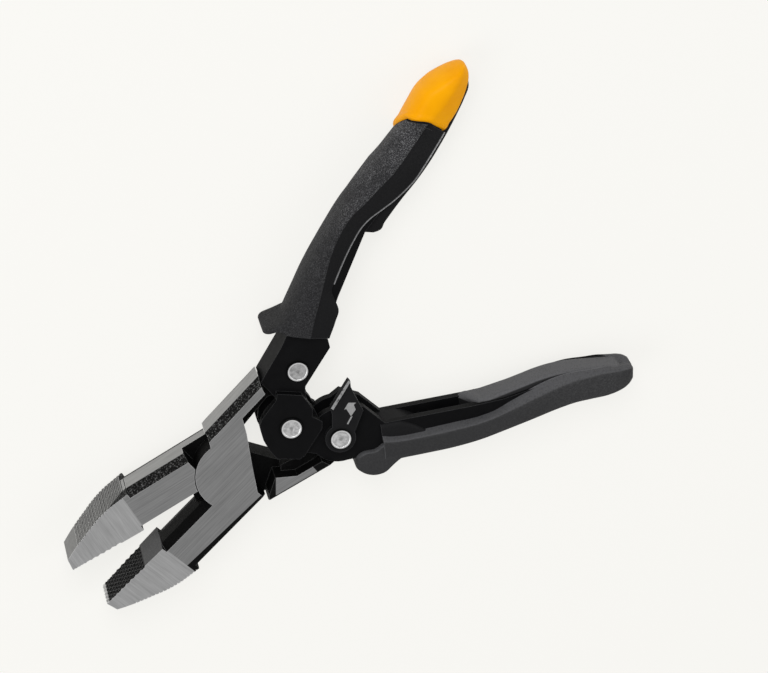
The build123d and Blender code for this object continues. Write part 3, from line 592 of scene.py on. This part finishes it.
def curve(rows, at):
    """Smooth values at the places at. Each row is a place and its values; between two rows runs a cubic
    whose slopes at both ends are the central differences of the rows."""
    rows = np.array(rows, dtype=float)
    places = rows[:, 0]
    values = rows[:, 1:]
    slopes = np.gradient(values, places, axis=0)
    spot = np.clip(np.searchsorted(places, at, side="right") - 1, 0, len(places) - 2)
    gap = (places[spot + 1] - places[spot])[:, None]
    t = (at - places[spot])[:, None] / gap
    return ((2 * t**3 - 3 * t**2 + 1) * values[spot] + (t**3 - 2 * t**2 + t) * gap * slopes[spot]
            + (3 * t**2 - 2 * t**3) * values[spot + 1] + (t**3 - t**2) * gap * slopes[spot + 1])


def rounded(corners, radii, steps=6):
    """Closed outlines with rounded corners. Corners are an array of outlines, corners and their two
    coordinates. Each corner becomes a parabola that starts and ends one radius away from it, or at most 0.45
    of the way to the next."""
    radii = np.array(radii, dtype=float)[None, :, None]
    before = np.roll(corners, 1, axis=1) - corners
    after = np.roll(corners, -1, axis=1) - corners
    ways = []
    for way in (before, after):
        length = np.maximum(np.linalg.norm(way, axis=2, keepdims=True), 1e-6)
        ways.append(corners + way * np.minimum(radii / length, 0.45))
    t = np.linspace(0, 1, steps)[None, None, :, None]
    first, last, middle = ways[0][:, :, None], ways[1][:, :, None], corners[:, :, None]
    points = (1 - t)**2 * first + 2 * t * (1 - t) * middle + t**2 * last
    return points.reshape(len(corners), -1, corners.shape[2])


def skin(rings):
    """Points and faces of a closed tube through the rings, with a face over each end."""
    count, around = rings.shape[:2]
    numbers = np.arange(count * around).reshape(count, around)
    here, there = numbers[:-1], numbers[1:]
    quads = np.stack([here, np.roll(here, -1, axis=1), np.roll(there, -1, axis=1), there], axis=2)
    ends = [numbers[0][::-1].tolist(), numbers[-1].tolist()]
    return rings.reshape(-1, 3), quads.reshape(-1, 4).tolist() + ends


def put_in(name, mesh, materials, body, sharp):
    """Puts a finished mesh into the scene as a piece that rides on body. It is smooth but for edges of more
    than sharp degrees."""
    mesh.polygons.foreach_set("use_smooth", np.ones(len(mesh.polygons), dtype=bool))
    mesh.set_sharp_from_angle(angle=math.radians(sharp))
    for material in materials:
        mesh.materials.append(material)
    piece = bpy.data.objects.new(name, mesh)
    bpy.context.scene.collection.objects.link(piece)
    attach(piece, body)
    return piece


def make_piece(name, skins, body, material, sharp=32.0, line=None):
    """One piece from several skins in millimetres. With a line material, the second half of the
    skins takes it."""
    points, faces, start = [], [], 0
    for some_points, some_faces in skins:
        points.append(some_points)
        faces += [[corner + start for corner in face] for face in some_faces]
        start += len(some_points)
    mesh = bpy.data.meshes.new(name)
    mesh.from_pydata((np.concatenate(points) * MM).tolist(), [], faces)
    work = bmesh.new()
    work.from_mesh(mesh)
    bmesh.ops.recalc_face_normals(work, faces=work.faces)
    work.to_mesh(mesh)
    work.free()
    piece = put_in(name, mesh, [material, line] if line else [material], body, sharp)
    if line:
        plain = sum(len(some_faces) for _, some_faces in skins[:len(skins) // 2])
        mesh.polygons.foreach_set("material_index", (np.arange(len(mesh.polygons)) >= plain).astype(int))
    return piece


def on_handle(angle, along, across, height):
    """Points of a handle: along it from the main pivot, across it with the inner side positive, and above or
    below the middle plane."""
    turn = math.radians(angle)
    inner = towards_other(angle)
    x = MAIN_PIN[0] + along * math.cos(turn) + across * inner[0]
    y = MAIN_PIN[1] + along * math.sin(turn) + across * inner[1]
    return np.stack([x, y, MIDDLE + height], axis=-1)


def lofted(angle, rows, section, radii, spacing=0.9, shift=None, steps=6):
    """Rings of outlines across a handle. Section turns the smooth values of the rows at each place into the
    corners of an outline: across the handle and height. Shift moves points along the handle."""
    count = int((rows[-1][0] - rows[0][0]) / spacing) + 2
    at = np.linspace(rows[0][0], rows[-1][0], count)
    outline = rounded(section(*curve(rows, at).T), radii, steps)
    along = np.repeat(at[:, None], outline.shape[1], axis=1)
    if shift:
        along = shift(along, outline[..., 0], outline[..., 1])
    return on_handle(angle, along, outline[..., 0], outline[..., 1])


def outline_of(*corners):
    """Corners as pairs of arrays or numbers, gathered into one array of outlines."""
    size = max(len(np.atleast_1d(value)) for corner in corners for value in corner)
    columns = [np.stack([np.broadcast_to(value, size) for value in corner], axis=1) for corner in corners]
    return np.stack(columns, axis=1)


def mirrored(rings):
    """The same rings on the other side of the middle plane."""
    other = rings.copy()
    other[..., 2] = 2 * MIDDLE - other[..., 2]
    return other


def flare(angle, outline, half, edge):
    """A guard: one rounded outline along and across the handle, carried through the thickness; near both
    faces it draws in towards its middle along a quarter circle of radius edge."""
    outline = np.array(outline, dtype=float)
    flat = rounded(outline[None, :, :2], outline[:, 2], 7)[0]
    middle = flat.mean(axis=0)
    reach = np.linalg.norm(flat - middle, axis=1).max()
    turn = np.linspace(-90, 90, 17)
    draw = edge * (1 - np.cos(np.radians(turn)))
    height = (half - edge) * np.sign(turn) + edge * np.sin(np.radians(turn))
    size = 1 - draw[:, None, None] / reach
    points = middle + (flat[None] - middle) * size
    heights = np.repeat(height[:, None], len(flat), axis=1)
    return on_handle(angle, points[..., 0], points[..., 1], heights)


# Spring and arrow

SPRING_SLIT = 0.02  # mm, half of the gap between the two halves of the return spring
ARROW_SPAN = (-14.0, -4.5)  # mm in y, the stretch of the lever's plate that carries the arrow
ARROW = (
    ((51.3, -5.5), (48.3, -6.7), (49.1, -7.0), (48.5, -10.7), (51.6, -9.7), (52.3, -7.6), (53.5, -7.5)),
    ((48.3, -10.8), (45.3, -12.2), (45.6, -12.7), (49.0, -11.1)),
)


def spring_half(name, body, material, low):
    """Half of the return spring, cut level through the middle of its coil: the low half holds the pin of the
    upper handle and the high half that of the lower one. The coil is centred on the pivot between the
    handles, so the cut faces pass each other as they close, a hair apart."""
    cut = MIDDLE + (-SPRING_SLIT if low else SPRING_SLIT)
    work = bmesh.new()
    work.from_mesh(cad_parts["return_spring"].data)
    bmesh.ops.remove_doubles(work, verts=work.verts, dist=0.001 * MM)
    everything = work.verts[:] + work.edges[:] + work.faces[:]
    bmesh.ops.bisect_plane(work, geom=everything, plane_co=(0, 0, cut * MM), plane_no=(0, 0, 1),
                           clear_outer=low, clear_inner=not low)
    bmesh.ops.holes_fill(work, edges=[edge for edge in work.edges if edge.is_boundary])
    bmesh.ops.triangulate(work, faces=[face for face in work.faces if len(face.verts) > 4])
    mesh = bpy.data.meshes.new(name)
    work.to_mesh(mesh)
    open_edges = sum(edge.is_boundary for edge in work.edges)
    work.free()
    if open_edges:
        raise RuntimeError(f"{name} has {open_edges} open edges")
    piece = put_in(name, mesh, [material], body, 40.0)
    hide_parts("return_spring")


def make_arrow():
    """The arrow as flat plates that stand 0.06 mm proud of the lever: an outline just below its face and a
    copy of the outline above, joined by a wall."""
    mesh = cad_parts["lock_lever"].data
    points = np.empty(len(mesh.vertices) * 3)
    mesh.vertices.foreach_get("co", points)
    _, y, z = points.reshape(-1, 3).T / MM
    face = z[(y > ARROW_SPAN[0]) & (y < ARROW_SPAN[1])].max()
    skins = []
    for corners in ARROW:
        flat = np.array(corners)
        levels = [np.c_[flat, np.full(len(flat), face + rise)] for rise in (-0.05, 0.06)]
        skins.append(skin(np.stack(levels)))
    make_piece("lever_arrow", skins, "lock_lever", arrow_paint())


# Upper grip

WALL = 2.6  # mm, thickness of a pad's wall round the channel
HOLLOW_HALF = 6.5  # mm, half the height of the hollow that holds the channel


def shell(outer, edge, high):
    """A pad as a C round the channel: a round flank, a broad face up to its edge, then the hollow inside."""
    wall = np.minimum(WALL, 0.5 * (edge - outer))
    top = ((edge, high), (outer + wall, high), (outer, 4.2))
    low = tuple((across, -height) for across, height in reversed(top))
    hollow = ((edge - 0.3, -HOLLOW_HALF - 0.2), (outer + wall, -HOLLOW_HALF), (outer + wall, HOLLOW_HALF),
              (edge - 0.3, HOLLOW_HALF + 0.2))
    return outline_of(*top, *low, *hollow)


SHELL_RADII = (0.5, 5.0, 5.5, 5.5, 5.0, 0.5, 0.3, 0.5, 0.5, 0.3)
UPPER_PAD = (
    # along, outer side, edge along the band, height
    (38.5, -18.9, -6.4, 9.4),
    (44.5, -18.6, -7.7, 9.5),
    (52.0, -18.3, -8.8, 9.5),
    (58.5, -18.1, -9.8, 9.5),
    (66.0, -17.5, -11.0, 9.5),
    (73.0, -16.6, -11.7, 9.5),
    (80.0, -15.4, -11.6, 9.5),
    (86.0, -14.4, -10.8, 9.5),
    (90.0, -13.7, -9.7, 9.5),
    (94.0, -12.9, -7.7, 9.5),
    (101.5, -11.1, -4.8, 9.5),
    (110.0, -8.9, -1.4, 9.6),
    (117.0, -7.3, 0.3, 9.7),
    (123.0, -6.2, 1.7, 9.8),
    (129.6, -5.0, 3.1, 9.9),
)
UPPER_BAND = (
    # along, pad edge, lower edge of the band, lower height
    (38.5, -6.4, 1.0, 7.2),
    (46.0, -7.9, 0.6, 7.2),
    (51.0, -8.6, -0.2, 7.2),
    (54.0, -9.1, -2.8, 7.2),
    (57.0, -9.6, -5.2, 7.0),
    (60.0, -10.0, -5.6, 6.9),
    (70.3, -11.5, -5.6, 6.8),
    (78.0, -11.7, -5.1, 6.6),
    (85.4, -10.9, -4.0, 6.8),
    (89.1, -10.0, -2.5, 6.8),
    (93.5, -8.0, 0.2, 6.9),
    (98.1, -6.0, 3.0, 7.0),
    (104.7, -3.5, 6.2, 7.0),
    (108.4, -2.0, 7.6, 7.0),
    (115.9, 0.1, 9.2, 6.8),
    (124.0, 1.9, 10.6, 6.4),
    (129.6, 3.1, 11.5, 5.9),
)
UPPER_LINER = (
    # along, lowest place inside, outer face
    (82.4, -6.0, -1.4),
    (83.2, -5.0, 2.0),
    (84.4, -4.0, 3.7),
    (88.1, -2.0, 4.5),
    (99.1, 0.0, 7.2),
    (107.9, 3.0, 9.8),
    (116.0, 4.5, 11.6),
    (123.9, 6.0, 12.8),
    (137.9, 7.0, 14.1),
    (144.0, 8.0, 14.3),
    (149.0, 9.6, 13.9),
    (151.0, 10.2, 12.9),
)
UPPER_CAP = (
    # along, outer side, ridge, inner side, height
    (130.2, -4.6, 3.3, 11.0, 9.6),
    (130.6, -5.1, 3.2, 11.4, 9.95),
    (134.0, -4.9, 3.9, 12.3, 10.0),
    (138.0, -4.3, 4.9, 13.1, 9.9),
    (142.7, -3.2, 6.0, 13.4, 9.6),
    (146.8, -0.2, 7.1, 13.4, 9.1),
    (150.5, 2.8, 8.1, 13.0, 8.2),
    (152.9, 5.0, 8.8, 12.3, 6.9),
    (154.7, 6.9, 9.2, 11.2, 4.9),
    (155.6, 8.2, 9.4, 10.2, 2.8),
    (155.9, 8.9, 9.4, 9.8, 1.2),
)
CAP_RADII = (1.2, 2.0, 5.5, 5.5, 5.5, 5.5, 2.0, 1.2)
PLUG_SPAN = (128.0, 132.0)  # mm along the handle, the plug that joins the liner to the end cap
BAND_RADII = (0.2, 0.4, 0.5, 0.2, 0.2)
BEAD_RADII = (0.2, 0.2, 0.2, 0.2)
UPPER_GUARD = (
    # along, across, radius
    (37.7, -9.0, 1.0),
    (35.3, -20.0, 3.0),
    (33.3, -22.8, 2.5),
    (33.0, -24.3, 2.5),
    (34.4, -24.5, 2.5),
    (36.2, -22.6, 3.0),
    (38.3, -20.2, 4.0),
    (42.0, -16.6, 1.0),
    (44.0, -9.0, 1.0),
)


def front_and_line(along, across, height):
    """The front of the upper grip leans 0.19 mm along for each mm across, which fades out over 9 mm, and
    from 108 mm on its rear follows the line of the end cap, in full after 22 mm."""
    front = 0.19 * (across - 0.5) * np.clip(1 - (along - UPPER_PAD[0][0]) / 9, 0, 1)
    return along + front + cap_line(across, height) * np.clip((along - 108) / 22, 0, 1)


def cap_line(across, height):
    """How far the line between pad and end cap bulges: 2.4 mm at the ridge of the near face, and back along
    the flanks by 0.75 mm for each mm further down, 8.25 mm at most."""
    broad = 2.4 * np.exp(-((across - 3.0) / 6)**2) * np.clip((height - 4) / 5, 0, 1)
    return broad - 0.75 * np.clip(5.5 - height, 0, 11)


def cap_shift(along, across, height):
    """The front of the end cap follows the line between pad and cap, which fades out over 16 mm."""
    return along + cap_line(across, height) * np.clip(1 - (along - UPPER_CAP[0][0]) / 16, 0, 1)


def cap_section(outer, ridge, inner, high):
    """The end cap: the inner side up to half its height, the ridge at its full height, a shoulder at 0.97 of
    it and the outer side up to 0.42 of it, and the same below."""
    top = ((inner, 0.5 * high), (ridge, high), (outer + 0.26 * high, 0.97 * high), (outer, 0.42 * high))
    low = tuple((across, -height) for across, height in reversed(top))
    return outline_of(*top, *low)


def band_section(edge, lower, low):
    """The band on one broad side: from 9.1 mm high at the pad it slopes to its lower edge, and its underside
    is level, 1.7 mm below that edge."""
    return outline_of((edge - 1.5, 9.1), (edge + 0.15, 9.1), (lower, low), (lower - 0.15, low - 1.7),
                      (edge - 1.5, low - 1.7))


def bead_section(edge, lower, low):
    """The pale bead: a strip 0.6 mm wide on the lower edge of the band, coloured as a painted edge
    highlight.
    """
    return outline_of((lower - 0.3, low + 0.35), (lower + 0.25, low + 0.1), (lower + 0.05, low - 0.5),
                      (lower - 0.5, low - 0.2))


def liner_section(half):
    """The section of a liner that reaches half mm to both sides of the middle plane: a flat face between two
    bevels 0.9 mm deep and 1.3 mm high."""
    def section(inside, face):
        return outline_of((inside, half), (face - 0.9, half), (face, half - 1.3), (face, 1.3 - half),
                          (face - 0.9, -half), (inside, -half))
    return section


def liner_radii(radius):
    """Radii of a liner's corners: nearly sharp inside, and one radius on the four outer ones."""
    return (0.3, radius, radius, radius, radius, 0.3)


# Lower grip

LOWER_PAD = (
    # along, outer side, ridge, edge, ridge height, edge height, hollow
    (34.3, -24.0, -13.6, -11.0, 10.1, 6.4, 1),
    (37.0, -23.9, -14.0, -12.0, 10.1, 6.4, 1),
    (40.0, -23.8, -14.3, -12.5, 10.1, 6.4, 1),
    (50.0, -23.7, -14.5, -12.6, 10.1, 6.4, 1),
    (62.0, -23.4, -14.1, -12.2, 10.1, 6.4, 1),
    (73.6, -22.1, -13.0, -11.6, 10.1, 6.4, 1),
    (79.0, -21.0, -11.9, -10.4, 10.1, 6.3, 1),
    (85.0, -19.7, -10.3, -7.8, 10.1, 6.2, 1),
    (92.5, -18.1, -8.2, -4.8, 10.0, 6.0, 1),
    (103.0, -15.8, -5.3, -1.7, 9.7, 5.8, 1),
    (110.0, -14.8, -4.0, -0.9, 9.2, 5.7, 1),
    (117.0, -14.7, -3.6, -1.2, 8.6, 5.5, 1),
    (124.0, -14.5, -3.2, -1.6, 8.3, 5.2, 0.9),
    (128.0, -13.7, -3.4, -2.7, 8.0, 5.0, 0.4),
    (131.0, -12.6, -3.6, -3.0, 7.4, 4.6, 0),
    (133.4, -10.8, -4.3, -3.7, 6.2, 3.6, 0),
    (134.6, -9.2, -5.3, -4.7, 4.2, 2.2, 0),
    (135.0, -7.8, -6.3, -6.0, 2.0, 1.0, 0),
)
LOWER_LINER = (
    # along, lowest place inside, outer face
    (71.0, -14.0, -7.6),
    (71.8, -14.0, -6.4),
    (76.0, -13.5, -5.8),
    (83.0, -12.0, -4.4),
    (91.0, -9.0, -2.7),
    (98.0, -7.0, -1.2),
    (104.0, -6.5, -0.5),
    (112.0, -6.5, -0.7),
    (120.0, -6.8, -1.7),
    (126.0, -7.0, -2.6),
    (129.5, -7.2, -3.5),
    (130.8, -7.4, -4.8),
)
LOWER_BLOCK = (
    # along, lowest place inside, outer face
    (34.2, -14.0, -7.0),
    (38.0, -14.0, -7.0),
    (43.0, -14.0, -7.4),
    (47.0, -14.0, -9.4),
    (51.5, -14.0, -12.6),
)
LOWER_RADII = (0.4, 1.2, 2.0, 3.0, 3.0, 2.0, 1.2, 0.4, 0.3, 0.5, 0.5, 0.3)
LOWER_GUARD = (
    # along, across, radius
    (35.0, -15.4, 1.0),
    (34.2, -15.2, 3.0),
    (31.0, -17.4, 3.0),
    (26.4, -17.0, 3.0),
    (22.9, -19.0, 2.5),
    (22.2, -23.6, 3.0),
    (25.6, -27.0, 3.0),
    (29.4, -28.4, 3.0),
    (33.8, -27.9, 3.0),
    (37.0, -25.2, 3.0),
    (40.4, -22.9, 4.0),
    (45.0, -20.6, 1.0),
    (44.0, -16.6, 1.0),
)
LINER_FRONT = 70.5  # mm along the handle, up to where the liner leans in full


def lower_shell(outer, ridge, edge, ridge_height, edge_height, hollow):
    """The lower pad as a C: a flank that faces away from the other handle, an outer shoulder, the ridge, and
    a steep face down to the groove along the liner. Where hollow falls to 0 the C closes."""
    top = ((edge, edge_height), (ridge, ridge_height), (outer + 0.6, 0.8 * ridge_height),
           (outer, 0.35 * ridge_height))
    low = tuple((across, -height) for across, height in reversed(top))
    mouth = edge - 1.2
    depth = mouth * (1 - hollow) + (outer + WALL) * hollow
    half = HOLLOW_HALF * hollow + 0.02
    return outline_of(*top, *low, (mouth, -half), (depth, -half), (depth, half), (mouth, half))


def liner_front(along, across, height):
    """The liner's front face leans 0.65 mm along for each mm of height, which fades out over 16 mm."""
    return along + 0.65 * (height - 3.2) * np.clip(1 - (along - LINER_FRONT) / 16, 0, 1)


# Add-on parts

class PliersSettings(bpy.types.PropertyGroup):
    """Values of the grips that the user can set"""
    grain: bpy.props.FloatProperty(
        name="Grain", description="Distance between the pits of the grained rubber", default=0.0007,
        unit="LENGTH", subtype="DISTANCE")
    end_colour: bpy.props.StringProperty(
        name="End colour", description="sRGB hex value of the end cap of the upper grip", default="#F0A800")
    # The pad colour is the paler grain: painted highlight over worn grain.
    pad_colour: bpy.props.StringProperty(
        name="Pad colour", description="sRGB hex value of the worn grain of the pads", default="#39393B")


class PLIERS_OT_steel(bpy.types.Operator):
    """Gives the jaws, rivets, channels and spring their steels"""
    bl_idname = "pliers.steel"
    bl_label = "Dress the steel parts"

    def execute(self, context):
        dress("upper_jaw", jaw_steel("ground_forged_steel_upper_jaw", 1))
        dress("lower_jaw", jaw_steel("ground_forged_steel_lower_jaw", -1))
        dress("jaw_pivot_rivet", jaw_steel("ground_flush_steel_rivet", -1, 0.0))
        bright = rivet_steel("upset_bright_steel_rivet", "#BCBCBC", "#F2F2F2")
        for node in ("lower_link_rivet", "main_pivot_rivet"):
            dress(node, bright)
        # The upper link rivet takes a darker copy of the same rivet steel.
        satin = rivet_steel("upset_darker_steel_rivet", "#A4A4A4", "#D0D0D0")
        dress("upper_link_rivet", satin)
        black = black_steel()
        for node in ("upper_handle_channel", "lower_handle_channel", "lever_washer", "spring_bush",
                     "upper_spring_pin", "lower_spring_pin"):
            dress(node, black)
        wire = spring_wire()
        spring_half("spring_upper_half", "upper_handle", wire, True)
        spring_half("spring_lower_half", "lower_handle", wire, False)
        return {"FINISHED"}


class PLIERS_OT_lever(bpy.types.Operator):
    """Dresses the locking lever and paints its arrow"""
    bl_idname = "pliers.lever"
    bl_label = "Dress the lever"

    def execute(self, context):
        dress("lock_lever", lever_steel())
        make_arrow()
        return {"FINISHED"}


class PLIERS_OT_upper_grip(bpy.types.Operator):
    """Makes the pad, band, liner and end cap of the upper grip"""
    bl_idname = "pliers.upper_grip"
    bl_label = "Make the upper grip"

    def execute(self, context):
        settings = context.scene.pliers
        rings = lofted(UPPER_ANGLE, UPPER_PAD, shell, SHELL_RADII, shift=front_and_line)
        guard = flare(UPPER_ANGLE, UPPER_GUARD, half=8.8, edge=3.2)
        piece = make_piece("upper_pad", (skin(rings), skin(guard)), "upper_handle", pad_rubber(settings))
        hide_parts("upper_grip_pad")
        rings = lofted(UPPER_ANGLE, UPPER_BAND, band_section, BAND_RADII, shift=front_and_line)
        bead = lofted(UPPER_ANGLE, UPPER_BAND[5:], bead_section, BEAD_RADII, shift=front_and_line, steps=3)
        skins = (skin(rings), skin(mirrored(rings)), skin(bead), skin(mirrored(bead)))
        piece = make_piece("upper_band", skins, "upper_handle", band_rubber(), line=edge_highlight_line())
        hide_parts("upper_grip_frame")
        rings = lofted(UPPER_ANGLE, UPPER_LINER, liner_section(4.6), liner_radii(0.8))
        plug = [(along, *UPPER_CAP[0][1:]) for along in PLUG_SPAN]
        plug = lofted(UPPER_ANGLE, plug, cap_section, CAP_RADII, shift=front_and_line)
        piece = make_piece("upper_liner", (skin(rings), skin(plug)), "upper_handle", liner_nylon())
        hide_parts("upper_grip_liner")
        rings = lofted(UPPER_ANGLE, UPPER_CAP, cap_section, CAP_RADII, spacing=0.4, shift=cap_shift)
        piece = make_piece("upper_cap", (skin(rings),), "upper_handle", yellow_plastic(settings.end_colour),
                           sharp=45.0)
        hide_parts("upper_grip_end_cap")
        return {"FINISHED"}


class PLIERS_OT_lower_grip(bpy.types.Operator):
    """Makes the pad, band and liner of the lower grip"""
    bl_idname = "pliers.lower_grip"
    bl_label = "Make the lower grip"

    def execute(self, context):
        rings = lofted(LOWER_ANGLE, LOWER_PAD, lower_shell, LOWER_RADII)
        guard = flare(LOWER_ANGLE, LOWER_GUARD, half=8.6, edge=2.2)
        piece = make_piece("lower_pad", (skin(rings), skin(guard)), "lower_handle",
                           lower_rubber(context.scene.pliers))
        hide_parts("lower_grip_pad")
        rings = lofted(LOWER_ANGLE, LOWER_BLOCK, liner_section(7.6), liner_radii(1.2))
        piece = make_piece("lower_band", (skin(rings),), "lower_handle", band_rubber())
        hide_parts("lower_grip_frame")
        rings = lofted(LOWER_ANGLE, LOWER_LINER, liner_section(5.5), liner_radii(0.9), shift=liner_front)
        piece = make_piece("lower_liner", (skin(rings),), "lower_handle", lower_liner_nylon())
        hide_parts("lower_grip_liner")
        return {"FINISHED"}


class PLIERS_OT_studio(bpy.types.Operator):
    """Makes the floor, the soft lights, the world and the camera"""
    bl_idname = "pliers.studio"
    bl_label = "Set up the studio"

    def execute(self, context):
        context.scene.view_settings.view_transform = "Standard"
        make_camera()
        make_floor()
        make_world()
        make_lights()
        return {"FINISHED"}


OPERATORS = (PLIERS_OT_steel, PLIERS_OT_lever, PLIERS_OT_upper_grip, PLIERS_OT_lower_grip, PLIERS_OT_studio)


class PLIERS_PT_parts(bpy.types.Panel):
    """One button for each operator"""
    bl_label = "Pliers"
    bl_idname = "PLIERS_PT_parts"
    bl_space_type = "VIEW_3D"
    bl_region_type = "UI"
    bl_category = "Pliers"

    def draw(self, context):
        for operator in OPERATORS:
            self.layout.operator(operator.bl_idname)


CLASSES = (PliersSettings, *OPERATORS, PLIERS_PT_parts)


def register():
    for kind in CLASSES:
        bpy.utils.register_class(kind)
    bpy.types.Scene.pliers = bpy.props.PointerProperty(type=PliersSettings)


def unregister():
    del bpy.types.Scene.pliers
    for kind in reversed(CLASSES):
        bpy.utils.unregister_class(kind)


def main():
    register()
    bpy.ops.pliers.steel()
    bpy.ops.pliers.lever()
    bpy.ops.pliers.upper_grip()
    bpy.ops.pliers.lower_grip()
    bpy.ops.pliers.studio()


if __name__ == "__main__":
    main()
